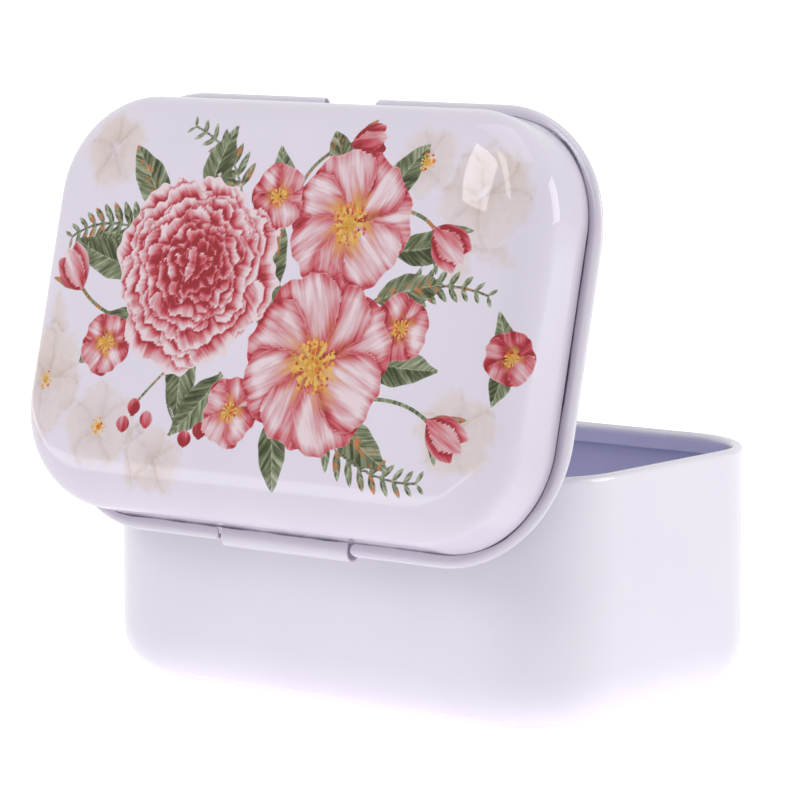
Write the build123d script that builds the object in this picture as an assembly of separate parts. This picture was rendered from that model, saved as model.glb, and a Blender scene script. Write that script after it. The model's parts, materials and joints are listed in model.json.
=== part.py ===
from build123d import *
import os
from math import asin, atan2, cos, degrees, hypot, radians, sin, tan

# Metal jewelry box: a drawn tinplate tray with a hinged lid in two layers, a plain inner lid and a printed cover.
# The origin is the middle of the underside of the tray. +Z is up, the thumb notch faces -Y, the hinge is at +Y.
# The lid is drawn shut and then swung open about the hinge wire, to the place where it stands in the photograph.
# All sizes are in millimetres and all angles in degrees.

# Tray, outside sizes
base_length = 85.7
base_width = 58.5
base_height = 36.2
base_corner_radius = 15.2
base_bottom_radius = 8.0
base_sheet = 0.30
rim_fold_width = 1.70
rim_fold_depth = 2.85

# Lid, measured outwards from the tray wall and upwards from the underside of the lid's rolled edge, which is called
# its hem here. The overlap is how far the shut lid reaches down over the tray. The rounding of the hem's ends beside
# the hinge leaf is a share of a full half round. The corner radii are those that each outline would have at the tray
# wall: the lid's corners are tighter than the tray's and the hem's are wider, so the flange narrows at its corners.
lid_overlap = 5.3
lid_corner_radius = 14.6
hem_corner_radius = 16.0
skirt_clearance = 0.60
pan_sheet = 0.25
cover_gap = 0.04
cover_sheet = 0.22
flange_width = 1.95
bead_radius = 0.85
bead_turn = 185
hem_end_rounding = 0.98
skirt_bend_radius = 0.35
cover_edge_gap = 0.12
side_draft = 2.0
edge_centre_height = 8.0
edge_radius = 6.0
crown_angle = 12
crown_radius = 40

# Thumb notch in the front of the flange
notch_width = 9.75
notch_depth = 1.30
notch_corner = 1.1

# Hinge: a leaf of the inner lid reaches through a window in the back wall and curls round a wire behind it. The drop
# is how far the wire lies below the hem of the shut lid.
wire_radius = 0.60
wire_reach = 5.0
wire_wall_gap = 0.05
wire_end_chamfer = 0.15
hinge_drop = 4.3
curl_clearance = 0.04
curl_turn = 270
leaf_width = 22.8
leaf_proud = 0.75
leaf_bend_radius = 1.35
leaf_root_gap = 0.15
slit_width = 0.60
window_side_gap = 0.65
window_above = 2.10
window_below = 0.95
window_corner = 0.4

# Two straps, lanced out of the back wall and pressed inwards, that hold the ends of the wire
strap_width = 2.8
strap_post = 0.95
strap_clearance = 0.03
strap_bend_radius = 0.5

# Opening of the lid, from shut, and how far the open lid has slid along the wire, within the play of its leaf
lid_open_angle = 76.2
lid_side_slide = 0.38

# Places that follow from the sizes above
hem_height = base_height - lid_overlap
hinge_height = hem_height - hinge_drop
hem_offset = skirt_clearance + pan_sheet + cover_gap + cover_sheet + flange_width
cover_offset = hem_offset - flange_width
flange_top = 2 * bead_radius
cover_edge_height = flange_top + cover_edge_gap
wire_inset = base_sheet + wire_wall_gap + wire_radius
hinge_y = base_width / 2 - wire_inset
window_width = leaf_width + 2 * window_side_gap
strap_arch_radius = wire_radius + strap_clearance + base_sheet / 2
strap_reach = strap_arch_radius + strap_bend_radius


def heading_vector(angle):
    return Vector(cos(radians(angle)), sin(radians(angle)))


def left_of(angle):
    return Vector(-sin(radians(angle)), cos(radians(angle)))


def folded_sheet(start, heading, moves, thickness):
    """Section of a sheet, as it is folded: a list of moves that are (length, 0) or (radius, turn to the left)."""
    half = thickness / 2
    point = Vector(*start)
    sides = {1: [], -1: []}
    for size, turn in moves:
        if turn == 0:
            end = point + heading_vector(heading) * size
            for side, edges in sides.items():
                shift = left_of(heading) * (side * half)
                edges.append(Edge.make_line(point + shift, end + shift))
            point = end
            continue
        bend = 1 if turn > 0 else -1
        centre = point + left_of(heading) * (bend * size)
        stops = [heading, heading + turn / 2, heading + turn]
        for side, edges in sides.items():
            reach = side * half - bend * size
            edges.append(Edge.make_three_point_arc(*[centre + left_of(stop) * reach for stop in stops]))
        heading += turn
        point = centre - left_of(heading) * (bend * size)
    caps = [
        Edge.make_line(sides[1][0] @ 0, sides[-1][0] @ 0),
        Edge.make_line(sides[1][-1] @ 1, sides[-1][-1] @ 1),
    ]
    return Face(Wire(sides[1] + sides[-1] + caps))


def wall_path(corner_radius):
    """The outline of the tray wall, from the middle of its front side and back to it, with this corner radius."""
    x = base_length / 2
    y = base_width / 2
    r = corner_radius
    with BuildLine() as path:
        Line((0, -y), (x - r, -y))
        for corner in range(4):
            JernArc(path.line @ 1, path.line % 1, r, 90)
            run = (base_width if corner % 2 == 0 else base_length) - 2 * r
            if corner == 3:
                run = x - r
            PolarLine(path.line @ 1, run, direction=path.line % 1)
    return path.wire()


def swept_round(section, corner_radius=base_corner_radius):
    """Carries a section, drawn as (outwards from the tray wall, up), once round the tray's outline."""
    front = Plane(origin=(0, -base_width / 2, 0), x_dir=(0, -1, 0), z_dir=(-1, 0, 0))
    return sweep(front * section, path=wall_path(corner_radius))


def rounded_plate(offset_out, low, thickness, corner_radius=base_corner_radius):
    """A flat plate with the tray's outline, offset outwards, that lies from low to low + thickness."""
    outline = RectangleRounded(
        base_length + 2 * offset_out, base_width + 2 * offset_out, corner_radius + offset_out
    )
    return Pos(0, 0, low) * extrude(outline, thickness)


def across_hinge(section, width, middle=0):
    """Carries a section, drawn as (outwards from the back wall, up), along X for a width about the middle."""
    back = Plane(origin=(middle, base_width / 2, 0), x_dir=(0, 1, 0), z_dir=(1, 0, 0))
    return extrude(back * section, width / 2, both=True)


def wall_cut(opening, x, z):
    """A block that cuts an opening through the back wall, with the middle of the opening at x and z."""
    back = Plane(origin=(x, base_width / 2, z), x_dir=(1, 0, 0), z_dir=(0, -1, 0))
    return extrude(back * opening, wire_inset, both=True)


def make_tray():
    """Deep-drawn tray: flat bottom, rounded bottom edge, straight wall, rim folded inwards and down."""
    fold_radius = (rim_fold_width - base_sheet) / 2
    inner_leaf = -rim_fold_width + base_sheet / 2
    bottom_bend = base_bottom_radius - base_sheet / 2
    # The fold's outer radius is half its width, so the wall starts that far below the top.
    wall_run = base_height - rim_fold_width / 2 - base_bottom_radius
    section = folded_sheet(
        (inner_leaf, base_height - rim_fold_depth),
        90,
        [
            (rim_fold_depth - rim_fold_width / 2, 0),
            (fold_radius, -180),
            (wall_run, 0),
            (bottom_bend, -90),
        ],
        base_sheet,
    )
    tray = swept_round(section) + rounded_plate(-base_bottom_radius, 0, base_sheet)

    window = RectangleRounded(window_width, window_above + window_below, window_corner)
    tray = tray - wall_cut(window, 0, hinge_height + (window_above - window_below) / 2)
    strap_middle = window_width / 2 + strap_post + strap_width / 2
    for x in (-strap_middle, strap_middle):
        tray = tray - wall_cut(Rectangle(strap_width, 2 * strap_reach), x, hinge_height) + make_strap(x)
    return tray


def make_strap(middle):
    """One strap: it leaves the wall above the wire, passes round the wire's inner side and rejoins the wall."""
    leg = wire_inset - base_sheet / 2 - strap_bend_radius
    section = folded_sheet(
        (-base_sheet / 2, hinge_height + strap_reach),
        -90,
        [
            (strap_bend_radius, -90),
            (leg, 0),
            (strap_arch_radius, 180),
            (leg, 0),
            (strap_bend_radius, -90),
        ],
        base_sheet,
    )
    return across_hinge(section, strap_width, middle)


def make_wire():
    """Straight steel wire behind the back wall, long enough to bear on the wall beyond both straps."""
    length = window_width + 2 * (strap_post + wire_reach)
    wire = Pos(0, hinge_y, hinge_height) * Rot(0, 90, 0) * Cylinder(wire_radius, length)
    return chamfer(wire.edges().filter_by(GeomType.CIRCLE), wire_end_chamfer)


def dome_section(depth, tail):
    """Half of a lid layer, from its flat top outwards and down: crown, rounded edge and drafted side.

    depth is how far the middle of the sheet lies inside the outer face of the printed cover. The side runs down
    to the height tail. Returns the start point, the heading and the moves, and the foot of the side.
    """
    side_normal = Vector(cos(radians(side_draft)), sin(radians(side_draft)))
    crown_normal = Vector(sin(radians(crown_angle)), cos(radians(crown_angle)))
    side_top = edge_centre_height + edge_radius * side_normal.Y
    side_spread = (side_top - cover_edge_height) * tan(radians(side_draft))
    edge_centre = Vector(cover_offset - side_spread - edge_radius * side_normal.X, edge_centre_height)
    crown_centre = edge_centre - crown_normal * (crown_radius - edge_radius)
    start = crown_centre + Vector(0, crown_radius - depth)
    side_start = edge_centre + side_normal * (edge_radius - depth)
    side_run = (side_start.Y - tail) / cos(radians(side_draft))
    moves = [
        (crown_radius - depth, -crown_angle),
        (edge_radius - depth, -(90 - side_draft - crown_angle)),
        (side_run, 0),
    ]
    foot = side_start + Vector(tan(radians(side_draft)) * (side_start.Y - tail), tail - side_start.Y)
    return start, moves, foot


def lid_layer(start, moves, thickness):
    """A whole lid layer at its shut height: the section carried round, and its flat top."""
    section = folded_sheet((start.X, hem_height + start.Y), 0, moves, thickness)
    flat = rounded_plate(start.X, hem_height + start.Y - thickness / 2, thickness, lid_corner_radius)
    return swept_round(section, lid_corner_radius) + flat


def make_cover():
    """Printed cover: the outer layer of the lid, which ends just above the flange."""
    start, moves, _ = dome_section(cover_sheet / 2, cover_edge_height)
    return lid_layer(start, moves, cover_sheet)


def make_leaf():
    """Hinge leaf: it leaves the flange, folds back towards the wire and curls over it."""
    flange_middle = hem_height + flange_top - pan_sheet / 2
    wire = Vector(-wire_inset, hinge_height)
    bend = Vector(hem_offset + leaf_proud - pan_sheet / 2 - leaf_bend_radius, flange_middle - leaf_bend_radius)
    curl_radius = wire_radius + curl_clearance + pan_sheet / 2
    # The straight part touches the bend on one side and the curl on the other.
    span = wire - bend
    distance = hypot(span.X, span.Y)
    lean = asin((leaf_bend_radius + curl_radius) / distance)
    heading = degrees(atan2(span.Y, span.X) - lean)
    straight = distance * cos(lean)
    root = cover_offset
    section = folded_sheet(
        (root, flange_middle),
        0,
        [
            (bend.X - root, 0),
            (leaf_bend_radius, heading),
            (straight, 0),
            (curl_radius, curl_turn),
        ],
        pan_sheet,
    )
    return across_hinge(section, leaf_width)


def flange_cut(sketch, y):
    """Cuts straight down through the flange and its rolled edge with a sketch whose middle is at y."""
    return Pos(0, y, hem_height - bead_radius) * extrude(sketch, flange_top + 2 * bead_radius)


def make_pan():
    """Inner lid: crowned top, skirt, flange that flares out and a rolled edge, with the hinge leaf at the back."""
    depth = cover_sheet + cover_gap + pan_sheet / 2
    flange_middle = flange_top - pan_sheet / 2
    bend_rise = skirt_bend_radius * (1 - sin(radians(side_draft)))
    start, moves, foot = dome_section(depth, flange_middle + bend_rise)
    moves.append((skirt_bend_radius, 90 - side_draft))
    pan = lid_layer(start, moves, pan_sheet)

    # The flat of the flange lies between the outline of the skirt's bend and that of the rolled edge.
    flange_start = foot.X + skirt_bend_radius * cos(radians(side_draft))
    flange_end = hem_offset - bead_radius
    flange_low = hem_height + flange_top - pan_sheet
    flange = rounded_plate(flange_end, flange_low, pan_sheet, hem_corner_radius)
    flange -= rounded_plate(flange_start, flange_low, pan_sheet, lid_corner_radius)
    curl_move = (bead_radius - pan_sheet / 2, -bead_turn)
    curl = folded_sheet((flange_end, hem_height + flange_middle), 0, [curl_move], pan_sheet)
    pan = pan + flange + swept_round(curl, hem_corner_radius)

    # The rolled edge stops short of the leaf on both sides, with rounded ends.
    root = cover_offset + leaf_root_gap
    band = hem_offset - root
    hem_end = RectangleRounded(2 * band, band, hem_end_rounding * band / 2)
    clear_half = leaf_width / 2 + slit_width
    clearing = Pos(0, band) * Rectangle(2 * clear_half + band, 2 * band)
    for side in (-1, 1):
        clearing -= Pos(side * (clear_half + band), band / 2) * hem_end
    pan = pan - flange_cut(clearing, base_width / 2 + root)
    pan = pan + make_leaf()

    notch = RectangleRounded(notch_width, 2 * notch_depth, notch_corner)
    return pan - flange_cut(notch, -base_width / 2 - hem_offset)


def opened(shape):
    """Swings a lid part from shut to where it stands in the photograph, and slides it along the wire."""
    hinge_line = Axis((0, hinge_y, hinge_height), (-1, 0, 0))
    return Pos(-lid_side_slide, 0, 0) * shape.rotate(hinge_line, lid_open_angle)


nodes = {
    "base_tray": make_tray(),
    "hinge_wire": make_wire(),
    "lid_pan": opened(make_pan()),
    "printed_cover": opened(make_cover()),
}
os.makedirs("parts", exist_ok=True)
for name, shape in nodes.items():
    export_step(shape, f"parts/{name}.step")
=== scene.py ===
import bpy
import json
import math
import numpy as np
from mathutils import Matrix, Vector


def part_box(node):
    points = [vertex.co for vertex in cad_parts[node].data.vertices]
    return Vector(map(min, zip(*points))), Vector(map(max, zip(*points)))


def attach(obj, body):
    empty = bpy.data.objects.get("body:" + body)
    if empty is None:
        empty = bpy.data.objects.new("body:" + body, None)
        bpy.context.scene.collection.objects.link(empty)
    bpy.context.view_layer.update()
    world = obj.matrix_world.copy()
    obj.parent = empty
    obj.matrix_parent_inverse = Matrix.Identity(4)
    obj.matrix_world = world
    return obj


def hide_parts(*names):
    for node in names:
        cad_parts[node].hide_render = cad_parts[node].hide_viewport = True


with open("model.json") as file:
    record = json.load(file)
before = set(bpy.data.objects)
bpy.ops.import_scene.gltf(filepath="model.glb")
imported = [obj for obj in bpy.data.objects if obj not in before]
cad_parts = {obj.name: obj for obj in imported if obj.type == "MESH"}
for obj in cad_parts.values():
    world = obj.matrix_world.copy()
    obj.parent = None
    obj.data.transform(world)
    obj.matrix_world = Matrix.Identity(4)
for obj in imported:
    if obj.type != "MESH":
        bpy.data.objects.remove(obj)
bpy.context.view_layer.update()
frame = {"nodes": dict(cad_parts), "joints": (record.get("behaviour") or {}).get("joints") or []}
scene = bpy.context.scene
scene.view_settings.view_transform = "Standard"

# Viewpoint. A long lens looks at the hinge side of the open box from a little above, as a catalogue
# picture does. Angles are in degrees and lengths in metres.
view_azimuth = 217.38
view_elevation = 7.10
view_roll = 0.17
view_distance = 0.5822
view_target = Vector((0.00563, 0.0, 0.04121))
lens_mm = 176.7
sensor_mm = 36.0


def from_the_box(azimuth, elevation):
    """Unit vector from the box towards a place: azimuth 0 is in front of the thumb notch and 90 towards
    +X. Its parts are sin(azimuth) * cos(elevation), -cos(azimuth) * cos(elevation) and sin(elevation)."""
    turn, rise = math.radians(azimuth), math.radians(elevation)
    return Vector((math.sin(turn) * math.cos(rise), -math.cos(turn) * math.cos(rise), math.sin(rise)))


backward = from_the_box(view_azimuth, view_elevation)
level_right = from_the_box(view_azimuth + 90, 0)
level_up = backward.cross(level_right)
roll = math.radians(view_roll)
right = level_right * math.cos(roll) + level_up * math.sin(roll)
camera_data = bpy.data.cameras.new("catalogue_lens")
camera_data.lens = lens_mm
camera_data.sensor_width = sensor_mm
camera_data.clip_start = 0.01
camera_data.clip_end = 20.0
camera = bpy.data.objects.new("catalogue_camera", camera_data)
camera_turn = Matrix((right, backward.cross(right), backward)).transposed().to_4x4()
camera.matrix_world = Matrix.Translation(view_target + backward * view_distance) @ camera_turn
scene.collection.objects.link(camera)
scene.camera = camera


# Light tent. White walls all round give a plain even light and white reflections, four soft boxes and a
# lit part of the table give the shine, and the white table fades to the white of the tent. The table
# gives more light back close to the box than farther off.
tent_light = 0.445
tent_distance = 0.9
lit_table_azimuth = 146
lit_table_distance = 0.91
lit_table_height = 0.002
tent_colour = "#FFFFFF"
card_colour = "#F5F4F6"
table_half_width = 4.0
table_near_glow = 0.42
table_far_glow = 1.0
table_fade_start = 0.12
table_fade_end = 0.75
table_light = 0.29
table_light_by_box = 0.55
by_box_start = 0.036
by_box_end = 0.056
box_depth_to_length = 0.68


def linear(code):
    """sRGB hex code to linear light by the standard curve, with alpha 1."""
    channel = np.array([int(code[i : i + 2], 16) for i in (1, 3, 5)]) / 255
    light = np.where(channel <= 0.04045, channel / 12.92, ((channel + 0.055) / 1.055) ** 2.4)
    return (*light, 1.0)


def add(tree, kind, *values, settings=None, **links):
    """Adds one node. A word after its kind sets its operation or its data type. Values go to its inputs
    in use in their order, and a link goes to the input that it names. Each is a number, a colour, a
    socket or a node, which stands for its first output in use."""
    kind, _, work = kind.partition(" ")
    node = tree.nodes.new("ShaderNode" + kind)
    if work:
        setattr(node, "operation" if hasattr(node, "operation") else "data_type", work)
    for name, value in (settings or {}).items():
        setattr(node, name, value)
    inputs = [socket for socket in node.inputs if socket.enabled]
    named = [
        (next(socket for socket in inputs if socket.name == name.replace("_", " ")), value)
        for name, value in links.items()
    ]
    for socket, value in [*zip(inputs, values), *named]:
        if isinstance(value, bpy.types.Node):
            value = next(output for output in value.outputs if output.enabled)
        if isinstance(value, bpy.types.NodeSocket):
            tree.links.new(value, socket)
        else:
            socket.default_value = value
    return node


def seen_directly(tree):
    """1 on camera, mirror and glass rays, which see the white backdrop, and 0 on rays that light the box."""
    path = add(tree, "LightPath")
    glossy, through = path.outputs["Is Glossy Ray"], path.outputs["Is Transmission Ray"]
    mirrored = add(tree, "Math MAXIMUM", glossy, through)
    return add(tree, "Math MAXIMUM", path.outputs["Is Camera Ray"], mirrored)


def soft_box(name, azimuth, elevation, size, power):
    """A rectangular lamp of the tent, with its size in metres and its power in watts. It stands at an
    azimuth and elevation and faces the box."""
    data = bpy.data.lights.new(name, "AREA")
    data.shape = "RECTANGLE"
    data.size, data.size_y = size
    data.energy = power
    lamp = bpy.data.objects.new(name, data)
    away = from_the_box(azimuth, elevation)
    lamp.location = view_target + away * tent_distance
    lamp.rotation_euler = away.to_track_quat("Z", "Y").to_euler()
    scene.collection.objects.link(lamp)
    return lamp


def new_material(name):
    """A material with an empty node tree."""
    material = bpy.data.materials.new(name)
    material.use_nodes = True
    material.node_tree.nodes.clear()
    return material


world = bpy.data.worlds.new("light_tent")
scene.world = world
world.use_nodes = True
tree = world.node_tree
tree.nodes.clear()
strength = add(tree, "Mix FLOAT", Factor=seen_directly(tree), A=tent_light, B=1.0)
glow = add(tree, "Background", Color=linear(tent_colour), Strength=strength)
add(tree, "OutputWorld", Surface=glow)
soft_box("side_soft_box", 306, 18, (0.35, 0.5), 2.2)
soft_box("window_soft_box", 155, 31, (0.17, 0.28), 0.9)
soft_box("front_soft_box", 174, 41, (0.15, 0.4), 0.9)
soft_box("top_soft_box", 240, 84, (0.7, 0.7), 1.9)

# The brightly lit far part of the table on the hinge side lies flat and shows in the gloss alone.
lit_table = soft_box("lit_table", lit_table_azimuth, 0, (1.6, 1.1), 10.0)
lit_table_spot = lit_table_distance * from_the_box(lit_table_azimuth, 0)
lit_table.location = lit_table_spot + Vector((0.0, 0.0, lit_table_height))
lit_table.rotation_euler = (math.pi, 0.0, math.radians(lit_table_azimuth - 180))
lit_table.visible_diffuse = False
lit_table.visible_camera = False

table_mesh = bpy.data.meshes.new("table")
corners = [
    (x * table_half_width, y * table_half_width, 0.0) for x, y in ((-1, -1), (1, -1), (1, 1), (-1, 1))
]
table_mesh.from_pydata(corners, [], [(0, 1, 2, 3)])
table = bpy.data.objects.new("table", table_mesh)
scene.collection.objects.link(table)
white_card = new_material("white_card")
tree = white_card.node_tree
place = add(tree, "TexCoord")
reach = add(tree, "VectorMath LENGTH", place.outputs["Object"])
fade = add(
    tree,
    "MapRange",
    reach,
    table_fade_start,
    table_fade_end,
    table_near_glow,
    table_far_glow,
    settings={"interpolation_type": "SMOOTHSTEP"},
)
squeezed = add(tree, "VectorMath MULTIPLY", place.outputs["Object"], (box_depth_to_length, 1.0, 0.0))
from_box = add(tree, "VectorMath LENGTH", squeezed)
given_back = add(tree, "MapRange", from_box, by_box_start, by_box_end, table_light_by_box, table_light)
lift = add(tree, "Mix FLOAT", seen_directly(tree), given_back, fade)
glow = add(tree, "Emission", Color=linear(tent_colour), Strength=lift)
card = add(tree, "BsdfDiffuse", Color=linear(card_colour))
both = add(tree, "AddShader", card, glow)
add(tree, "OutputMaterial", Surface=both)
table_mesh.materials.append(white_card)


# base_tray. One deep-drawn tray of tinplate, roller-coated outside with white enamel of a cool lavender
# cast. Inside, its colour is painted bluer as painted shade, and almost white on the folded rim as a painted
# highlight. The film flowed out before it was baked, so it is glossy with a faint orange peel.
enamel_colours = ("#E2DCEA", "#E8E3EC")
# Painted shade: the bluer colour inside the tray. Painted highlight: the almost white rim colour.
painted_shade_lining_colour = "#DADAF4"
painted_rim_highlight_colour = "#FAF8FF"
dust_colour = "#8C8798"
enamel_roughness = (0.28, 0.34)
enamel_cloud_mm = 14.0
enamel_smears_per_mm = 0.35
enamel_peel_mm = 1.6
enamel_peel_depth = 0.00002
speck_spacing_mm = 2.6
speck_rarity = 0.985
speck_radius = 0.06
speck_strength = 0.45
noise_span = (0.3, 0.7)
tray_middle_mm = 18.0
facing_out_mm = 2.0
facing_in_mm = -6.0
rim_highlight_low_mm = 34.8
rim_highlight_fade_mm = 1.0


def millimetres(tree):
    """Object coordinates in millimetres."""
    place = add(tree, "TexCoord")
    return add(tree, "VectorMath SCALE", place.outputs["Object"], Scale=1000.0)


def enamel_film(tree, at):
    """The enamel's colour, roughness and bump at a place in millimetres: slow clouds and rare specks of
    dust in the colour, smears in the roughness and orange peel in the bump. A speck is where the distance
    to its cell's point is under a radius that is over 0 in the few cells whose own random number is over
    the rarity."""
    cloud = add(tree, "TexNoise", Vector=at, Scale=1 / enamel_cloud_mm, Detail=3.0)
    colour = add(tree, "Mix RGBA", cloud, *map(linear, enamel_colours))
    cell = add(tree, "TexVoronoi", Vector=at, Scale=1 / speck_spacing_mm)
    lot = add(tree, "SeparateColor", Color=cell.outputs["Color"])
    radius = add(tree, "MapRange", lot, speck_rarity, 1.0, 0.0, speck_radius)
    speck = add(tree, "Math LESS_THAN", cell.outputs["Distance"], radius)
    faint = add(tree, "Math MULTIPLY", speck, speck_strength)
    dusty = add(tree, "Mix RGBA", faint, colour, linear(dust_colour))
    smear = add(tree, "TexNoise", Vector=at, Scale=enamel_smears_per_mm, Detail=4.0)
    rough = add(tree, "MapRange", smear, *noise_span, *enamel_roughness)
    peel = add(tree, "TexNoise", Vector=at, Scale=1 / enamel_peel_mm, Detail=1.5)
    bump = add(tree, "Bump", Height=peel, Strength=0.05, Distance=enamel_peel_depth)
    return dusty, rough, bump


def enamel_shader(tree, colour, rough, bump):
    """White enamel: a soft body under a clear glossy skin."""
    return add(
        tree,
        "BsdfPrincipled",
        Base_Color=colour,
        Roughness=rough,
        Normal=bump,
        Coat_Weight=0.7,
        Coat_Roughness=0.06,
    )


tray_enamel = new_material("lavender_white_enamel_on_tray")
tree = tray_enamel.node_tree
at = millimetres(tree)
colour, rough, bump = enamel_film(tree, at)

# The painted shade is where the surface faces the middle of the tray, and the painted highlight is on the
# rim.
surface = add(tree, "NewGeometry")
from_middle = add(tree, "VectorMath SUBTRACT", at, (0.0, 0.0, tray_middle_mm))
facing = add(tree, "VectorMath DOT_PRODUCT", from_middle, surface.outputs["Normal"])
inward_shade_share = add(tree, "MapRange", facing, facing_out_mm, facing_in_mm)
upright = add(tree, "SeparateXYZ", Vector=at)
rim_highlight_share = add(tree, "MapRange", upright.outputs["Z"], rim_highlight_low_mm, rim_highlight_low_mm + rim_highlight_fade_mm)
lining_with_painted_light = add(tree, "Mix RGBA", rim_highlight_share, linear(painted_shade_lining_colour), linear(painted_rim_highlight_colour))
colour = add(tree, "Mix RGBA", inward_shade_share, colour, lining_with_painted_light)
shader = enamel_shader(tree, colour, rough, bump)
add(tree, "OutputMaterial", Surface=shader)


def finish_node(name, material):
    """Gives a CAD node this material and nothing else."""
    slots = frame["nodes"][name].data.materials
    slots.clear()
    slots.append(material)


finish_node("base_tray", tray_enamel)


# hinge_wire. A straight length of bright drawn steel wire, cut, chamfered and held by two straps of the
# tray. Drawing leaves fine lines along it, made coarser here than real ones so that they show.
wire_colours = ("#A9A9AD", "#C6C6CA")
wire_roughness = (0.2, 0.4)
wire_line_mm = 0.05
wire_line_stretch = 0.02

wire_steel = new_material("bright_drawn_steel_wire")
tree = wire_steel.node_tree
along_the_wire = add(tree, "Mapping", Vector=millimetres(tree), Scale=(wire_line_stretch, 1.0, 1.0))
lines = add(tree, "TexNoise", Vector=along_the_wire, Scale=1 / wire_line_mm, Detail=2.0)
colour = add(tree, "Mix RGBA", lines, *map(linear, wire_colours))
rough = add(tree, "MapRange", lines, *noise_span, *wire_roughness)
shader = add(tree, "BsdfPrincipled", Base_Color=colour, Metallic=1.0, Roughness=rough)
add(tree, "OutputMaterial", Surface=shader)
finish_node("hinge_wire", wire_steel)


# lid_pan. The plain inner lid, drawn from the same enamelled tinplate, with its rim rolled outwards. The
# printed cover is pressed on. A thin dark line of painted shade along its edge stands for the shadow in the
# gap under it, and grey painted shade at one end for the dome's shade. Lengths are in millimetres.
tray_low, tray_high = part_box("base_tray")
tray_half = np.array((tray_high - tray_low) / 2) * 1000
tray_top = tray_high.z * 1000
hinge = frame["joints"][0]
hinge_mm = np.array(hinge["pos_m"]) * 1000
opening = math.radians(-hinge["range_deg"][0])
cover_low, cover_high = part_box("printed_cover")
lid_slide = (cover_low.x + cover_high.x) / 2 * 1000
cover_offset = (cover_high.x - cover_low.x) / 2 * 1000 - tray_half[0]
lid_overlap = 5.3
lid_corner_radius = 14.6
core_half = tray_half[:2] - lid_corner_radius
hem_height = tray_top - lid_overlap
cover_sheet = 0.22
flange_top = 1.70
flange_slack = 0.1
# Painted shade on the flange, darker by the cover.
painted_flange_shade_tints = ("#E0DDE5", "#FCFCFC")
flange_shade_start = 1.6
flange_shade_end = 3.0
# Painted shade: a dark line for the shadow in the narrow gap under the cover's cut edge.
painted_gap_shade_colour = "#454058"
gap_shade_span = (0.35, 0.6)
gap_shade_strength = (0.4, 0.95)
gap_shade_patches_per_mm = 0.12
gap_shade_width = 0.2
gap_shade_corner_width = 0.42
gap_shade_corner_way = (-0.6, -0.8, 0.0)
gap_shade_corner_start = 40.0
gap_shade_corner_end = 50.0
# Painted shade at one end of the flange, where the dome shades it.
painted_side_shade_colour = "#6E697E"
side_shade_strength = 0.42
side_shade_start = -41.0
side_shade_end = -44.0
side_shade_outer = 2.5
side_shade_inner = 1.1


def lid_offset(tree, shut):
    """How far a place lies outside the tray's outline, measured with the lid's corner radius: the length
    of what its distances from the middle have beyond the straight half sides, less the radius."""
    level = add(tree, "VectorMath MULTIPLY", shut, (1.0, 1.0, 0.0))
    folded = add(tree, "VectorMath ABSOLUTE", level)
    beyond = add(tree, "VectorMath SUBTRACT", folded, (*core_half, 0.0))
    outside = add(tree, "VectorMath MAXIMUM", beyond, (0.0, 0.0, 0.0))
    reach = add(tree, "VectorMath LENGTH", outside)
    return add(tree, "Math SUBTRACT", reach, lid_corner_radius)


pan_enamel = new_material("lavender_white_enamel_on_inner_lid")
tree = pan_enamel.node_tree
at = millimetres(tree)
film, rough, bump = enamel_film(tree, at)

# A place on the open lid is turned back about the hinge wire to where it is on the shut one.
turn_back = Matrix.Rotation(opening, 3, "X")
shut = add(
    tree,
    "Mapping",
    Vector=at,
    Location=Vector(hinge_mm) - turn_back @ Vector(hinge_mm) - Vector((lid_slide, 0.0, 0.0)),
    Rotation=(opening, 0.0, 0.0),
)
apart = add(tree, "SeparateXYZ", Vector=shut)
outward = lid_offset(tree, shut)
outer = add(tree, "Math GREATER_THAN", outward, cover_offset - cover_sheet)

# Painted shade: the flange is a little darker by the cover than at its rolled edge, for the cover's shade.
flange_shade_share = add(tree, "MapRange", outward, flange_shade_start, flange_shade_end)
painted_flange_shade = add(tree, "Mix RGBA", flange_shade_share, *map(linear, painted_flange_shade_tints))
colour = add(tree, "Mix RGBA", 1.0, film, painted_flange_shade, settings={"blend_type": "MULTIPLY"})

# A painted shade line for the shadow in the gap starts under the cover's cut edge. It is half to one and a
# half times its usual width, and wider at one corner.
gap_shade_wander = add(tree, "TexNoise", Vector=at, Scale=gap_shade_patches_per_mm, Detail=3.0)
narrowest = cover_offset + 0.5 * gap_shade_width
widest = cover_offset + 1.5 * gap_shade_width
line_end = add(tree, "MapRange", gap_shade_wander, *noise_span, narrowest, widest)
to_corner = add(tree, "VectorMath DOT_PRODUCT", shut, gap_shade_corner_way)
corner_span = (gap_shade_corner_start, gap_shade_corner_end)
more = add(tree, "MapRange", to_corner, *corner_span, 0.0, gap_shade_corner_width - gap_shade_width)
line_end = add(tree, "Math ADD", line_end, more)
in_line = add(tree, "Math LESS_THAN", outward, line_end)
above = add(tree, "Math GREATER_THAN", apart.outputs["Z"], hem_height + flange_top - flange_slack)
on_flange = add(tree, "Math MULTIPLY", above, outer)
gap_shade_mask = add(tree, "Math MULTIPLY", in_line, on_flange)
gap_shade_depth = add(tree, "MapRange", gap_shade_wander, *gap_shade_span, *gap_shade_strength)
painted_gap_shade = add(tree, "Math MULTIPLY", gap_shade_mask, gap_shade_depth)

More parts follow.
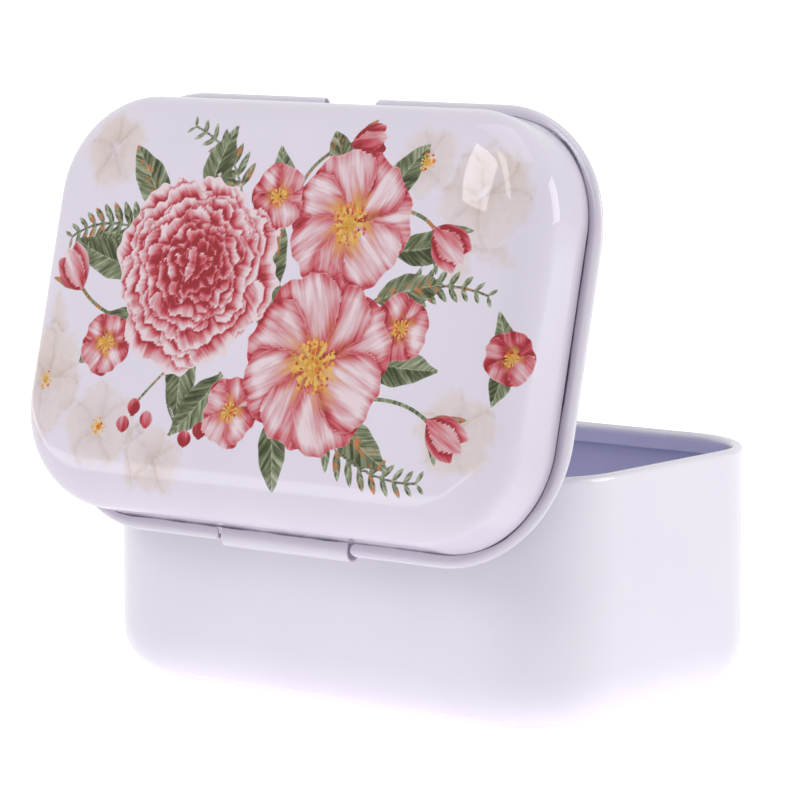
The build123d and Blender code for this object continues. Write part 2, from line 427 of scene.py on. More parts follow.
# Painted shade at one end of the flange, where the dome shades it, fades from the line outwards.
by_end = add(tree, "MapRange", apart.outputs["X"], side_shade_start, side_shade_end, 0.0, side_shade_strength)
by_line = add(tree, "MapRange", outward, side_shade_outer, side_shade_inner)
side_shade_share = add(tree, "Math MULTIPLY", by_end, by_line)
smear = add(tree, "Math MULTIPLY", side_shade_share, outer)
colour = add(tree, "Mix RGBA", smear, colour, linear(painted_side_shade_colour))
colour = add(tree, "Mix RGBA", painted_gap_shade, colour, linear(painted_gap_shade_colour))
shader = enamel_shader(tree, colour, rough, bump)
add(tree, "OutputMaterial", Surface=shader)
finish_node("lid_pan", pan_enamel)


# printed_cover. The outer shell of the lid: thin tinplate printed flat with flowers, varnished, and then
# drawn into a low dome that is pressed over the inner lid. The print wraps down its sides and its cut
# edge shows as a fine line. Lengths are in millimetres and heights are over the hem.
cover_gap = 0.12
cover_edge_height = flange_top + cover_gap
side_draft = math.radians(2.0)
edge_centre_height = 8.0
edge_radius = 6.0
crown_angle = math.radians(12.0)
crown_radius = 40.0
long_steps = 236
short_steps = 122
corner_steps = 64
edge_steps = 22
side_steps = 7
inner_edge_steps = 6
inner_crown_steps = 4
crease_angle = math.radians(50)

side_top = edge_centre_height + edge_radius * math.sin(side_draft)
side_spread = (side_top - cover_edge_height) * math.tan(side_draft)
edge_centre_offset = cover_offset - side_spread - edge_radius * math.cos(side_draft)
edge_centre = np.array([edge_centre_offset, edge_centre_height])
crown_way = np.array([math.sin(crown_angle), math.cos(crown_angle)])
crown_centre = edge_centre - (crown_radius - edge_radius) * crown_way
crown_end = edge_centre[0] + edge_radius * math.sin(crown_angle)


def arc_rows(radius, start, end, steps):
    """Points (offset, height) on the rounded edge: its centre plus the radius times the sine and the
    cosine of angles from the vertical."""
    angle = np.linspace(start, end, steps + 1)
    return edge_centre + radius * np.stack([np.sin(angle), np.cos(angle)], 1)


def crown_height(offset, inset=0.0):
    """Height of the crown, which is flat in the middle and then an arc: its centre's height plus the root
    of the squared radius less the squared way out from that centre."""
    way_out = np.maximum(offset - crown_centre[0], 0)
    return crown_centre[1] + np.sqrt((crown_radius - inset) ** 2 - way_out**2)


def outline_columns():
    """Once round the lid from the middle of one corner: for each column the nearest point of the
    straight-sided core within it and the outward direction, as (cosine, sine) of an angle. A straight
    moves along the core, and a corner turns about the core's corner."""
    core, normal = [], []
    half = corner_steps // 2
    signs = ((-1, -1), (1, -1), (1, 1), (-1, 1))
    for side in range(4):
        here, there = (np.array(signs[k % 4]) * core_half for k in (side, side + 1))
        steps = long_steps if side % 2 == 0 else short_steps
        middle = math.pi * (side / 2 - 0.5)
        angle = np.concatenate([
            np.linspace(middle - math.pi / 4, middle, half + 1)[:-1],
            np.full(steps, middle),
            np.linspace(middle, middle + math.pi / 4, half + 1)[:-1],
        ])
        share = np.concatenate([np.zeros(half), np.arange(steps) / steps, np.ones(half)])
        core.append(here + (there - here) * share[:, None])
        normal.append(np.stack([np.cos(angle), np.sin(angle)], 1))
    return np.concatenate(core), np.concatenate(normal)


core, normal = outline_columns()
columns = len(core)
border = core + normal * (lid_corner_radius + crown_end)

# The top is a grid blended between its four sides, u across and v up it: the sides' shares are added and
# the corners' shares, which come twice, are taken off once.
across = long_steps + corner_steps
deep = short_steps + corner_steps
around = np.concatenate([border, border[:1]])
low_side = around[: across + 1]
right_side = around[across : across + deep + 1]
high_side = around[across + deep : 2 * across + deep + 1][::-1]
left_side = around[2 * across + deep :][::-1]
u = np.linspace(0, 1, across + 1)[None, :, None]
v = np.linspace(0, 1, deep + 1)[:, None, None]
top = (
    (1 - v) * low_side[None]
    + v * high_side[None]
    + (1 - u) * left_side[:, None]
    + u * right_side[:, None]
    - (1 - u) * (1 - v) * low_side[0]
    - u * (1 - v) * low_side[-1]
    - (1 - u) * v * high_side[0]
    - u * v * high_side[-1]
).reshape(-1, 2)
over = np.abs(top) - core_half
top_offset = np.where((over > 0).all(1), np.hypot(*over.T), over.max(1)) - lid_corner_radius
top_height = crown_height(top_offset)

# From the crown's border the shell goes on outwards and down in rows, round its cut edge and back up
# inside, and a row is the core plus the outward direction times the row's offset.
outer_arc = arc_rows(edge_radius, crown_angle, math.pi / 2 - side_draft, edge_steps)
foot = np.array([cover_offset, cover_edge_height])
side_share = np.linspace(0, 1, side_steps + 1)[1:, None]
outer_rows = np.concatenate([outer_arc[1:], outer_arc[-1] + (foot - outer_arc[-1]) * side_share])
inner_arc = arc_rows(edge_radius - cover_sheet, math.pi / 2 - side_draft, crown_angle, inner_edge_steps)
inner_crown = np.linspace(inner_arc[-1][0], crown_centre[0], inner_crown_steps + 1)[1:]
inner_rows = np.concatenate([
    [foot - [cover_sheet / math.cos(side_draft), 0.0]],
    inner_arc,
    np.stack([inner_crown, crown_height(inner_crown, cover_sheet)], 1),
])
rows = np.concatenate([outer_rows, inner_rows])
ring = core[None] + normal[None] * (lid_corner_radius + rows[:, :1, None])
ring_height = np.broadcast_to(rows[:, 1:2], (len(rows), columns))
flat_shut = np.concatenate([top, ring.reshape(-1, 2)])
height = hem_height + np.concatenate([top_height, ring_height.ravel()])


def opened(x, y, z):
    """Millimetres on the shut lid to metres on the open one: a turn about the hinge wire, which mixes the
    ways across and up from it by the opening angle's cosine and sine, and the lid's slide along it."""
    y, z = y - hinge_mm[1], z - hinge_mm[2]
    turned_y = hinge_mm[1] + y * math.cos(opening) + z * math.sin(opening)
    turned_z = hinge_mm[2] + z * math.cos(opening) - y * math.sin(opening)
    return np.stack([x + lid_slide, turned_y, turned_z], 1) / 1000


grid = np.arange((across + 1) * (deep + 1)).reshape(deep + 1, across + 1)
grid_border = np.concatenate([grid[0, :-1], grid[:-1, -1], grid[-1, :0:-1], grid[:0:-1, 0]])
row_points = grid.size + np.arange(len(rows) * columns).reshape(len(rows), columns)
loops = np.concatenate([grid_border[None], row_points])
top_faces = np.stack([grid[:-1, :-1], grid[:-1, 1:], grid[1:, 1:], grid[1:, :-1]], -1).reshape(-1, 4)
after = np.roll(loops, -1, axis=1)
ring_faces = np.stack([loops[:-1], loops[1:], after[1:], after[:-1]], -1).reshape(-1, 4)
cover_mesh = bpy.data.meshes.new("printed_cover_shell")
faces = np.concatenate([top_faces, ring_faces]).tolist() + [loops[-1, ::-1].tolist()]
cover_mesh.from_pydata(opened(flat_shut[:, 0], flat_shut[:, 1], height), [], faces)
cover_mesh.shade_smooth()
cover_mesh.set_sharp_from_angle(angle=crease_angle)
cover = bpy.data.objects.new("printed_cover_shell", cover_mesh)
scene.collection.objects.link(cover)
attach(cover, "lid")
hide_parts("printed_cover")

# The print lies flat in millimetres, right and up as seen from the hinge side of the open lid. Past the
# crown's border it runs on along the section, as the flat sheet did before it was drawn.
edge_turn = math.pi / 2 - side_draft - crown_angle
side_length = np.linalg.norm(foot - outer_arc[-1])
run = np.concatenate([
    edge_radius * np.linspace(0, edge_turn, edge_steps + 1)[1:],
    edge_radius * edge_turn + np.linspace(0, side_length, side_steps + 1)[1:],
])
wrapped = border[None] + normal[None] * run[:, None, None]
sheet = -np.concatenate([top, wrapped.reshape(-1, 2)])
printed = len(sheet)
seed = np.random.default_rng(7)
no_ink = -9.0
shadow_mm = 0.6
shadow_reach = 1.5
root_overlap = 0.2
tip_narrowness = 40
wave_along = 1.9
wave_across = 2.6
stem_steps = 128
stem_step_run = 0.2
stem_tone = 0.35
ring_shift = np.array((0.10, 0.16))
ring_turn = 0.37


def blank_ink():
    """An ink layer with nothing on it: two sets of four numbers for each place. Its shape is how far the
    place is inside any outline and inside its own one, the tone and the shade. Its place is the run along
    the petal or leaf, the run across it, its number and the paleness of its rim."""
    return np.tile([no_ink, no_ink, 0.0, 0.0], (printed, 1)), np.zeros((printed, 4))


def lay(ink, near, edge, tone, u, v, rim=0.0):
    """Lays one shape over the rest of its ink. It covers what it is over, and it darkens what lies round
    its rim by exp(edge / shadow_mm), where edge is how far a place is inside its outline, and below 0
    outside."""
    shape, place = ink
    below = shape[near]
    covers = (edge > 0) | (edge > below[:, 0])
    own = np.where(covers, edge, below[:, 1])
    shade = np.where(covers, 0.0, np.maximum(below[:, 3], np.exp(np.minimum(edge, 0.0) / shadow_mm)))
    anywhere = np.maximum(below[:, 0], edge)
    shape[near] = np.stack([anywhere, own, np.where(covers, tone, below[:, 2]), shade], 1)
    number = np.full_like(u, seed.random())
    place[near[covers]] = np.stack([u, v, number, np.full_like(u, rim)], 1)[covers]


def blade(
    ink, root, degrees, length, width, tones,
    fullness=1.6, blunt=0.55, bend=0.0, ruffle=0.14, notch=0.0, rim=0.0,
):
    """One petal or leaf. With u along it and v across it, its half width is width / 2 * sin(pi * (u /
    length) ** fullness) ** blunt, its middle swings over by bend * (u / length) ** 2, its outline wavers
    by ruffle, its tip can be notched, and its tone goes from the tip's to the root's by (1 - u / length)
    ** 1.5. The way in from its side is the spare half width over the root of 1 plus its slope squared."""
    away = sheet - root
    near = np.flatnonzero((away**2).sum(1) < (1.1 * length + abs(bend) + shadow_reach) ** 2)
    heading = math.radians(degrees)
    u = away[near] @ (math.cos(heading), math.sin(heading))
    share = np.clip(u / length, 0.02, 0.98)
    v = away[near] @ (-math.sin(heading), math.cos(heading)) - bend * share**2
    swell = math.pi * share**fullness
    half = width / 2 * np.sin(swell) ** blunt
    slope = half * blunt * fullness * swell / (np.tan(swell) * share * length)
    tip = length * (1 - notch * np.exp(-tip_narrowness * (v / width) ** 2))
    edge = np.minimum((half - np.abs(v)) / np.hypot(1, slope), np.minimum(tip - u, u + root_overlap))
    first_wave, second_wave = seed.uniform(0, 2 * math.pi, 2)
    edge += ruffle / 2 * (np.sin(wave_along * u + first_wave) + np.sin(wave_across * v + second_wave))
    lay(ink, near, edge, tones[0] + (tones[1] - tones[0]) * (1 - share) ** 1.5, u, v, rim)


def bowed(start, bow, end, share):
    """A place on the curve that leaves start towards bow and ends at end. The three count for (1 - share)
    ** 2, 2 * share * (1 - share) and share ** 2."""
    start, bow, end = (np.array(place) for place in (start, bow, end))
    return (1 - share) ** 2 * start + 2 * share * (1 - share) * bow + share**2 * end


def stem(start, bow, end, width=0.6):
    """A stem of one width along a bowed curve: how far inside it a place lies is half the width less the
    distance to the nearest of the curve's points."""
    line = bowed(start, bow, end, np.linspace(0, 1, stem_steps + 1)[:, None])
    near = np.flatnonzero(((sheet > line.min(0) - 1) & (sheet < line.max(0) + 1)).all(1))
    gap = np.linalg.norm(sheet[near, None] - line[None], axis=2)
    lay(leaf_ink, near, width / 2 - gap.min(1), stem_tone, gap.argmin(1) * stem_step_run, gap.min(1))


def heart(centre, radius):
    """The place of the stamens of a bloom: the way from its middle, how far inside its heart a place is,
    and that over the heart's radius. The heart that a place is farthest inside has it."""
    away = sheet - centre
    inside = radius - np.hypot(*away.T)
    near = inside > np.maximum(-radius, heart_ink[:, 2])
    heart_ink[near] = np.stack([away[near, 0], away[near, 1], inside[near], inside[near] / radius], 1)


def bloom(ink, centre, radius, count, tones, turn=0.0, wide=2.4, notch=0.06, heart_share=0.28):
    """An open bloom: one ring of petals and its stamens. A petal's width is its length times wide times the
    sine of half a petal's share of the turn."""
    for petal in range(count):
        degrees = turn + 360 * (petal + seed.uniform(-0.1, 0.1)) / count
        length = radius * seed.uniform(0.92, 1.05)
        width = wide * length * math.sin(math.pi / count)
        blade(ink, centre, degrees, length, width, tones, notch=notch, rim=seed.uniform(-1.3, -0.5))
    if heart_share:
        heart(centre, radius * heart_share)


def rosette(centre, radius, rings):
    """A full bloom of many rings of petals, the outer ones first. A ring has its count, its share of the
    radius and the tones of its petals, and the rings shift a little so that the bloom looks upwards. A
    petal's width is its length times a tenth more than 7.6 over the count, give or take."""
    for ring, (count, share, tones) in enumerate(rings):
        middle = np.array(centre) + ring_shift * ring
        for petal in range(count):
            degrees = 360 * (petal + ring_turn * ring + seed.uniform(-0.2, 0.2)) / count
            length = radius * share * seed.uniform(0.9, 1.08)
            width = length * (7.6 / count + 0.1) * seed.uniform(0.85, 1.1)
            blade(
                bloom_ink, middle, degrees, length, width, tones, 2.2, 0.5, ruffle=0.36, notch=0.05, rim=1.0
            )


def bud(root, degrees, length):
    """A closed bud: four narrow sepals and three petals over them, each at its lean from the bud's way."""
    for lean in (-38, 38, -16, 16):
        blade(
            leaf_ink, root, degrees + lean, 0.95 * length, 0.2 * length, (0.5, 0.2), 0.8, 0.9, ruffle=0.1
        )
    for lean, tones in ((-17, (0.35, 0.75)), (17, (0.45, 0.8)), (0, (0.25, 0.7))):
        blade(bloom_ink, root, degrees + lean, length, 0.52 * length, tones, 1.1, 0.7, ruffle=0.1)


def spray(start, bow, end, pairs, size):
    """A fern-like spray: a bowed stem with pairs of narrow leaflets, which lean to both sides of the
    curve's own direction there and get smaller to its tip."""
    stem(start, bow, end, 0.4)
    for share in np.linspace(0.12, 1.0, pairs):
        at = bowed(start, bow, end, share)
        way = (1 - share) * (np.array(bow) - start) + share * (np.array(end) - bow)
        degrees = math.degrees(math.atan2(way[1], way[0]))
        for side in (-52, 52):
            length = size * (1.05 - 0.6 * share)
            blade(leaf_ink, at, degrees + side, length, 0.34 * length, (0.75, 0.4), 0.9, 0.8, ruffle=0.06)


ghost_ink = blank_ink()
leaf_ink = blank_ink()
bloom_ink = blank_ink()
heart_ink = np.tile([0.0, 0.0, no_ink, no_ink], (printed, 1))

# Pale cream leaves, and blossoms with their middle, radius and count of petals, that fade into the ground.
for root, length, width, ways in (
    ((-36.0, -11.0), 12.0, 4.2, (200, 150, 260, 100)),
    ((31.0, 14.0), 12.0, 4.4, (20, -30, 70, -75)),
    ((-18.0, -18.0), 10.0, 4.0, (-150, -100, -60)),
):
    for degrees in ways:
        blade(ghost_ink, root, degrees, length, width, (0.3, 0.7), 0.9, 0.8)
for centre, radius, count in (
    ((-38.0, -13.0), 8.0, 6),
    ((-26.0, -19.0), 6.4, 5),
    ((-15.0, -23.0), 5.0, 5),
    ((35.0, 17.0), 7.4, 6),
    ((25.0, 21.5), 5.2, 5),
    ((-31.0, 21.0), 5.6, 5),
    ((36.0, -15.0), 6.0, 5),
):
    turn = seed.uniform(0, 90)
    bloom(ghost_ink, centre, radius, count, (0.2, 0.9), turn, notch=0.1, heart_share=0.0)
for centre in ((-26.0, -19.0), (25.0, 21.5), (-38.0, -13.0)):
    heart(centre, 1.3)

# Sprays and stems that run out of the garland.
spray((-22.0, 9.0), (-30.0, 12.0), (-37.0, 8.0), 9, 4.6)
spray((-6.0, 15.0), (-8.0, 22.0), (-17.0, 25.0), 8, 4.2)
spray((13.0, -16.0), (22.0, -23.0), (31.0, -22.0), 9, 4.6)
spray((24.0, 3.0), (31.0, 6.0), (38.0, 4.0), 7, 3.8)
stem((16.0, 14.0), (24.0, 16.0), (28.0, 12.5))
stem((17.0, -12.0), (26.0, -10.0), (31.5, -13.5))
stem((-21.0, -3.0), (-28.0, -4.0), (-33.0, 0.5))
stem((4.0, 17.0), (6.0, 22.0), (11.5, 23.5))
stem((-14.0, -9.0), (-16.0, -15.0), (-10.0, -19.0), 0.45)
stem((-14.0, -9.0), (-19.0, -14.0), (-20.0, -15.5), 0.45)

# Leaves, each with its root, direction, length, width and the swing of its middle line.
leaf_tones = (0.75, 0.3)
for x, y, degrees, length, width, bend in (
    (-20.0, 12.0, 118, 12.0, 5.4, 1.6),
    (-23.0, 4.0, 172, 13.0, 5.6, -1.8),
    (-22.0, -2.0, 214, 12.5, 5.6, 1.5),
    (-12.0, 15.0, 84, 10.5, 5.0, -1.4),
    (-12.0, -5.0, 262, 12.0, 5.6, 1.8),
    (-5.0, -10.0, 236, 12.0, 5.2, -1.4),
    (2.0, 12.0, 96, 11.0, 5.0, 1.5),
    (5.0, -15.0, 284, 10.5, 5.0, -1.2),
    (16.0, -14.0, 318, 12.0, 5.2, 1.6),
    (19.0, -6.0, 350, 13.0, 5.4, 1.6),
    (20.0, 2.0, 22, 11.5, 5.0, -1.4),
    (19.0, 15.0, 64, 11.0, 4.8, -1.4),
    (22.0, 9.0, 4, 11.0, 4.8, 1.2),
    (12.0, 18.0, 112, 8.5, 4.2, 0.9),
    (-1.0, 0.0, 70, 12.0, 5.6, 0.8),
    (-2.0, 6.0, 300, 14.0, 6.0, 0.8),
):
    blade(leaf_ink, (x, y), degrees, length, width, leaf_tones, 0.85, 0.85, bend)

# Buds, berries and blooms, from the ones behind to the ones in front.
lone_bloom = (42.5, -4.0)
bud((28.0, 12.5), -38, 7.2)
bud((31.5, -13.5), -32, 7.0)
bud((-33.0, 0.5), 130, 7.4)
bud((11.5, 23.5), 12, 6.0)
for x, y in ((-20.0, -15.6), (-17.4, -17.2), (-21.6, -18.2), (-10.0, -19.4), (-7.4, -18.0)):
    blade(bloom_ink, (x, y - 1.2), 90, 2.4, 2.5, (0.6, 0.95), 1.0, 0.5, ruffle=0.05)
bloom(bloom_ink, (13.5, 12.5), 10.6, 7, (0.14, 0.62), turn=10.0)
bloom(bloom_ink, (-2.5, -15.0), 5.0, 5, (0.12, 0.5), turn=30.0, heart_share=0.3)
bloom(bloom_ink, (25.0, -1.5), 4.8, 5, (0.14, 0.55), turn=60.0, heart_share=0.3)
bloom(bloom_ink, (0.5, 15.5), 4.6, 5, (0.1, 0.45), turn=5.0, heart_share=0.3)
bloom(bloom_ink, (-27.0, -7.0), 4.6, 5, (0.14, 0.5), turn=18.0, heart_share=0.3)
bloom(bloom_ink, lone_bloom, 3.6, 5, (0.3, 0.75), turn=40.0, heart_share=0.3)
bloom(bloom_ink, (11.0, -7.5), 13.2, 8, (0.2, 0.7), turn=24.0)
rosette(
    (-13.0, 4.0),
    14.4,
    (
        (7, 1.0, (0.08, 0.38)),
        (7, 0.87, (0.12, 0.52)),
        (7, 0.73, (0.18, 0.68)),
        (6, 0.59, (0.28, 0.88)),
        (6, 0.46, (0.42, 1.05)),
        (5, 0.34, (0.56, 1.2)),
        (4, 0.23, (0.64, 1.2)),
        (3, 0.13, (0.6, 1.2)),
    ),
)

# Two small leaves beside the bloom that stands alone.
for degrees, length, width, bend in ((250, 7.0, 3.0, 0.7), (118, 6.4, 2.8, -0.6)):
    blade(leaf_ink, lone_bloom, degrees, length, width, leaf_tones, 0.85, 0.85, bend)


def keep(name, kind, values):
    """Stores one field of the print on the shell's points, and no ink on its unprinted inside."""
    rest = np.full((len(cover_mesh.vertices) - printed, values.shape[1]), no_ink)
    data = cover_mesh.attributes.new(name, kind, "POINT").data
    key = "color" if kind == "FLOAT_COLOR" else "vector"
    data.foreach_set(key, np.concatenate([values, rest]).astype(np.float32).ravel())


keep("print_sheet", "FLOAT_VECTOR", np.column_stack([sheet, np.ones(printed)]))
for name, ink in (("ghost", ghost_ink), ("leaf", leaf_ink), ("bloom", bloom_ink)):
    keep(name + "_shape", "FLOAT_COLOR", ink[0])
    keep(name + "_place", "FLOAT_COLOR", ink[1])
keep("heart_place", "FLOAT_COLOR", heart_ink)

# The ground of the print and the noises that its inks share: slow clouds, brush marks and fine grain.
ground_colours = ("#DCD5E4", "#E5DDEA")
clouds_per_mm = 0.06
brush_marks_per_mm = 0.9
fine_grain_mm = 0.3125
ink_edge = (-0.02, 0.06)


def spread(ramp, *codes):
    """Sets a colour ramp to evenly spaced hex codes."""
    elements = ramp.color_ramp.elements
    for position in np.linspace(0, 1, len(codes))[1:-1]:
        elements.new(position)
    for element, code in zip(elements, codes):
        element.color = linear(code)
    return ramp


def ink_fields(tree, name):
    """The eight fields of an ink: inside any outline, inside its own, tone, shade, along, across, number
    and paleness of the rim."""
    shape = add(tree, "Attribute", settings={"attribute_name": name + "_shape"})
    place = add(tree, "Attribute", settings={"attribute_name": name + "_place"})
    parts = add(tree, "SeparateColor", Color=shape.outputs["Color"])
    runs = add(tree, "SeparateColor", Color=place.outputs["Color"])
    return (*parts.outputs, shape.outputs["Alpha"], *runs.outputs, place.outputs["Alpha"])


def varied(tree, value, noise, amount, least):
    """A value with a noise added to it: value + least + amount * noise."""
    return add(tree, "Math MULTIPLY_ADD", noise, amount, add(tree, "Math ADD", value, least))


varnished_print = new_material("varnished_flower_print_on_tinplate")
tree = varnished_print.node_tree
flat = add(tree, "Attribute", settings={"attribute_name": "print_sheet"})
flat_parts = add(tree, "SeparateXYZ", Vector=flat.outputs["Vector"])
at = flat.outputs["Vector"]
slow = add(tree, "TexNoise", Vector=at, Scale=clouds_per_mm, Detail=3.0)
brush = add(tree, "TexNoise", Vector=at, Scale=brush_marks_per_mm, Detail=3.0)
fine = add(tree, "TexNoise", Vector=at, Scale=1 / fine_grain_mm, Detail=2.0)
colour = add(tree, "Mix RGBA", slow, *map(linear, ground_colours))

# Faded blossoms: thin cream washes with soft rims and browner shade between the petals.
wash_waver = 2.2
wash_edge = (-0.3, 1.0)
faded_span = (0.35, 0.65)
faded_strength = (0.45, 0.85)
edge, _, tone, shade, *_ = ink_fields(tree, "ghost")
wash = varied(tree, edge, brush, wash_waver, -wash_waver / 2)
wash = add(tree, "MapRange", wash, *wash_edge)
depth = add(tree, "Math MULTIPLY_ADD", shade, 0.5, add(tree, "Math MULTIPLY", tone, 0.7))
depth = varied(tree, depth, brush, 0.5, -0.25)
cream = spread(add(tree, "ValToRGB", depth), "#E2D6D2", "#D8C8C1", "#CAB5A7", "#B59E8A")
faded = add(tree, "MapRange", slow, *faded_span, *faded_strength)
colour = add(tree, "Mix RGBA", add(tree, "Math MULTIPLY", wash, faded), colour, cream)

# Leaves: a lighter and a darker half, a pale midrib, slanting side veins, dark brush strokes along them
# that are others on each half, a pale rim, and here and there an orange blush.
leaf_length = 12.0
leaf_half_width = 2.6
half_edge = (-0.2, 0.2)
half_lights = (-0.1, 0.12)
rib_widths = (0.2, 0.06)
rib_light = 0.3
veins_per_mm = 0.62
vein_slant = -1.1
vein_widths = (0.18, 0.06)
vein_light = 0.14
strokes_per_mm = 0.9
stroke_stretch = (1.0, 0.4, 1.0)
stroke_amount = 2.4
leaf_shift = 40.0
half_shift = 3.0
pale_rim_mm = 0.45
pale_rim_light = 0.16
blush_colour = "#C8743C"
blush_rarity = 0.68
blush_reach = (1.4, 0.3)
blush_span = (0.52, 0.6)
blush_strength = 0.85
edge, own, tone, shade, along, across, number, _ = ink_fields(tree, "leaf")
side = add(tree, "Math ABSOLUTE", across)
slant = add(tree, "Math MULTIPLY_ADD", side, vein_slant, along)
vein_run = add(tree, "Math FRACT", add(tree, "Math MULTIPLY", slant, veins_per_mm))
vein_width = add(tree, "MapRange", side, 0.0, leaf_half_width, *vein_widths)
side_vein = add(tree, "Math LESS_THAN", vein_run, vein_width)
leaf_number = add(tree, "Math MULTIPLY", number, leaf_shift)
half_number = add(tree, "Math MULTIPLY_ADD", add(tree, "Math SIGN", across), half_shift, leaf_number)
stroke_at = add(tree, "CombineXYZ", X=add(tree, "Math MULTIPLY", slant, 1.5), Y=side, Z=half_number)
stroke_grain = add(tree, "Mapping", Vector=stroke_at, Scale=stroke_stretch)
stroke = add(tree, "TexNoise", Vector=stroke_grain, Scale=strokes_per_mm, Detail=3.0)
rib_width = add(tree, "MapRange", along, 0.0, leaf_length, *rib_widths)
midrib = add(tree, "Math LESS_THAN", side, rib_width)
half = add(tree, "MapRange", across, *half_edge, *half_lights)
light = add(tree, "Math MULTIPLY_ADD", tone, 0.35, add(tree, "Math ADD", half, 0.12))
light = add(tree, "Math MULTIPLY_ADD", shade, -0.3, light)
light = varied(tree, light, stroke, stroke_amount, -1.12)
light = varied(tree, light, fine, 0.2, -0.1)
light = add(tree, "Math MULTIPLY_ADD", side_vein, vein_light, light)
light = add(tree, "Math MULTIPLY_ADD", midrib, rib_light, light)
pale_rim = add(tree, "MapRange", own, 0.0, pale_rim_mm, pale_rim_light, 0.0)
light = add(tree, "Math ADD", light, pale_rim)
green = spread(add(tree, "ValToRGB", light), "#323A18", "#50593A", "#707959", "#8B9376", "#AFB69D")
some_leaves = add(tree, "Math GREATER_THAN", number, blush_rarity)
by_rib = add(tree, "MapRange", side, *blush_reach)
brushed = add(tree, "MapRange", brush, *blush_span, 0.0, blush_strength)
blush = add(tree, "Math MULTIPLY", add(tree, "Math MULTIPLY", some_leaves, by_rib), brushed)
green = add(tree, "Mix RGBA", blush, green, linear(blush_colour))
leaf_ink_here = add(tree, "MapRange", edge, *ink_edge)
colour = add(tree, "Mix RGBA", leaf_ink_here, colour, green)

# Petals: a thin pale rim line, colour that deepens to the root, under the next petal and in some blooms
# to the rim, wet streaks along them and a yellow blot by some hearts.
petal_shift = 60.0
streak_stretch = (0.3, 2.4, 1.0)
streaks_per_mm = 1.0
streak_amount = 0.7
wet_streaks_per_mm = 0.28
wet_amount = 1.5
rim_line_mm = 0.28
rim_line_tone = -0.22
rim_wash_span = (0.1, 1.9)
rim_wash_tones = (-0.34, 0.2)
sunny_colour = "#E3B75C"
sunny_reach = (-0.95, 0.1)
sunny_span = (0.45, 0.6)
sunny_strength = 0.75
edge, own, tone, shade, along, across, number, rim = ink_fields(tree, "bloom")
run = add(tree, "CombineXYZ", X=along, Y=across, Z=add(tree, "Math MULTIPLY", number, petal_shift))
grain = add(tree, "Mapping", Vector=run, Scale=streak_stretch)
streak = add(tree, "TexNoise", Vector=grain, Scale=streaks_per_mm, Detail=3.0)
wet = add(tree, "TexNoise", Vector=grain, Scale=wet_streaks_per_mm, Detail=2.0)
deep = add(tree, "Math MULTIPLY_ADD", shade, 0.7, tone)
deep = varied(tree, deep, streak, streak_amount, -0.34)
deep = varied(tree, deep, wet, wet_amount, -0.72)
rim_wash = add(tree, "MapRange", own, *rim_wash_span, *rim_wash_tones)
deep = add(tree, "Math MULTIPLY_ADD", rim, rim_wash, deep)
rim_line = add(tree, "MapRange", own, 0.0, rim_line_mm, rim_line_tone, 0.0)
deep = add(tree, "Math ADD", deep, rim_line)
pinks = ("#E9D5DB", "#DDBAC1", "#D59AA1", "#CD6B76", "#BC3848", "#981623")
pink = spread(add(tree, "ValToRGB", deep), *pinks)
heart_place = add(tree, "Attribute", settings={"attribute_name": "heart_place"})
heart_parts = add(tree, "SeparateColor", Color=heart_place.outputs["Color"])
share = heart_place.outputs["Alpha"]
by_heart = add(tree, "MapRange", share, *sunny_reach)
blotted = add(tree, "MapRange", wet, *sunny_span, 0.0, sunny_strength)
sunny = add(tree, "Math MULTIPLY", by_heart, blotted)
pink = add(tree, "Mix RGBA", sunny, pink, linear(sunny_colour))
bloom_ink_here = add(tree, "MapRange", edge, *ink_edge)
colour = add(tree, "Mix RGBA", bloom_ink_here, colour, pink)

# Hearts: a yellow middle, and round it radial stamens with orange dots.
filament_colour = "#E2B860"
stamens_round = 11.0
stamen_waver = 5.0
stamen_ends = (-0.1, 0.25)
disc_start = 0.72
stamen_dot_mm = 0.8
dots_start = -0.08
dot_radii = (0.3, 0.48)
aside, upward, _ = heart_parts.outputs
around = add(tree, "Math ARCTAN2", upward, aside)
turns = add(tree, "Math MULTIPLY", around, stamens_round)
waver = add(tree, "Math MULTIPLY_ADD", fine, stamen_waver, turns)
spoke = add(tree, "Math GREATER_THAN", add(tree, "Math SINE", waver), 0.1)
spoke_end = add(tree, "MapRange", brush, *noise_span, *stamen_ends)
filament = add(tree, "Math MULTIPLY", spoke, add(tree, "Math GREATER_THAN", share, spoke_end))
colour = add(tree, "Mix RGBA", filament, colour, linear(filament_colour))
disc = add(tree, "Math GREATER_THAN", add(tree, "Math MULTIPLY_ADD", fine, 0.3, share), disc_start)
yellow = spread(add(tree, "ValToRGB", fine), "#A8661E", "#D09A38", "#E2BE68")
colour = add(tree, "Mix RGBA", disc, colour, yellow)
dots = add(tree, "TexVoronoi", Vector=at, Scale=1 / stamen_dot_mm)
dot_kind = add(tree, "SeparateColor", Color=dots.outputs["Color"])
dot_size = add(tree, "MapRange", dot_kind, 0.0, 1.0, *dot_radii)
dot = add(tree, "Math LESS_THAN", dots.outputs["Distance"], dot_size)
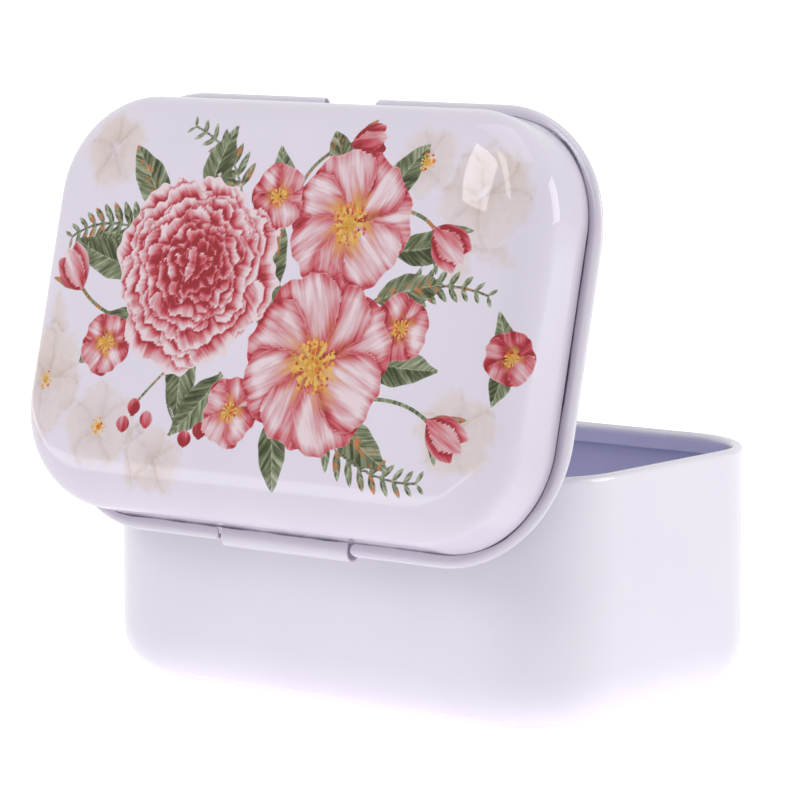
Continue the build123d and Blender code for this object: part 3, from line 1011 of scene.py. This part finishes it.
dot = add(tree, "Math MULTIPLY", dot, add(tree, "Math GREATER_THAN", share, dots_start))
orange = spread(add(tree, "ValToRGB", dot_kind), "#A83C12", "#CC5A1C", "#DC842C", "#E6B450")
colour = add(tree, "Mix RGBA", dot, colour, orange)

# The printing screen: rows of fine darker dots on the inked places. A real one has about twice as many rows
# and would be too fine to show, so it is drawn coarser.
screen_rows_per_mm = 3.4
screen_turn = 0.6
screen_dot_span = (0.6, 0.15)
screen_dot_dark = 0.34
screen_strength = 0.6
turned = add(tree, "Mapping", Vector=at, Rotation=(0.0, 0.0, screen_turn))
screen = add(tree, "TexVoronoi", Vector=turned, Scale=screen_rows_per_mm, Randomness=0.0)
inked = add(tree, "Math MAXIMUM", bloom_ink_here, leaf_ink_here)
from_dot = screen.outputs["Distance"]
screen_dot = add(tree, "MapRange", from_dot, *screen_dot_span, 0.0, screen_dot_dark)
dotted = add(tree, "Math MULTIPLY", screen_dot, inked)
scale = add(tree, "Math SUBTRACT", 1.0, add(tree, "Math MULTIPLY", dotted, screen_strength))
colour = add(tree, "VectorMath SCALE", colour, Scale=scale)

# Inside, the sheet is bare tin. The varnish lies in slow waves over the print.
bare_tin_colour = "#8E8D92"
varnish_roughness = (0.3, 0.42)
varnish_wave_mm = 2.5
varnish_wave_depth = 0.00003
inner = add(tree, "Math LESS_THAN", flat_parts.outputs["Z"], 0.5)
colour = add(tree, "Mix RGBA", inner, colour, linear(bare_tin_colour))
rough = add(tree, "MapRange", fine, *noise_span, *varnish_roughness)
wave = add(tree, "TexNoise", Vector=at, Scale=1 / varnish_wave_mm, Detail=2.0)
bump = add(tree, "Bump", Height=wave, Strength=0.1, Distance=varnish_wave_depth)
shader = add(
    tree,
    "BsdfPrincipled",
    Base_Color=colour,
    Roughness=rough,
    Normal=bump,
    Specular_IOR_Level=0.0,
    Coat_Weight=1.0,
    Coat_Roughness=0.03,
    Coat_IOR=1.42,
)
add(tree, "OutputMaterial", Surface=shader)
cover_mesh.materials.append(varnished_print)
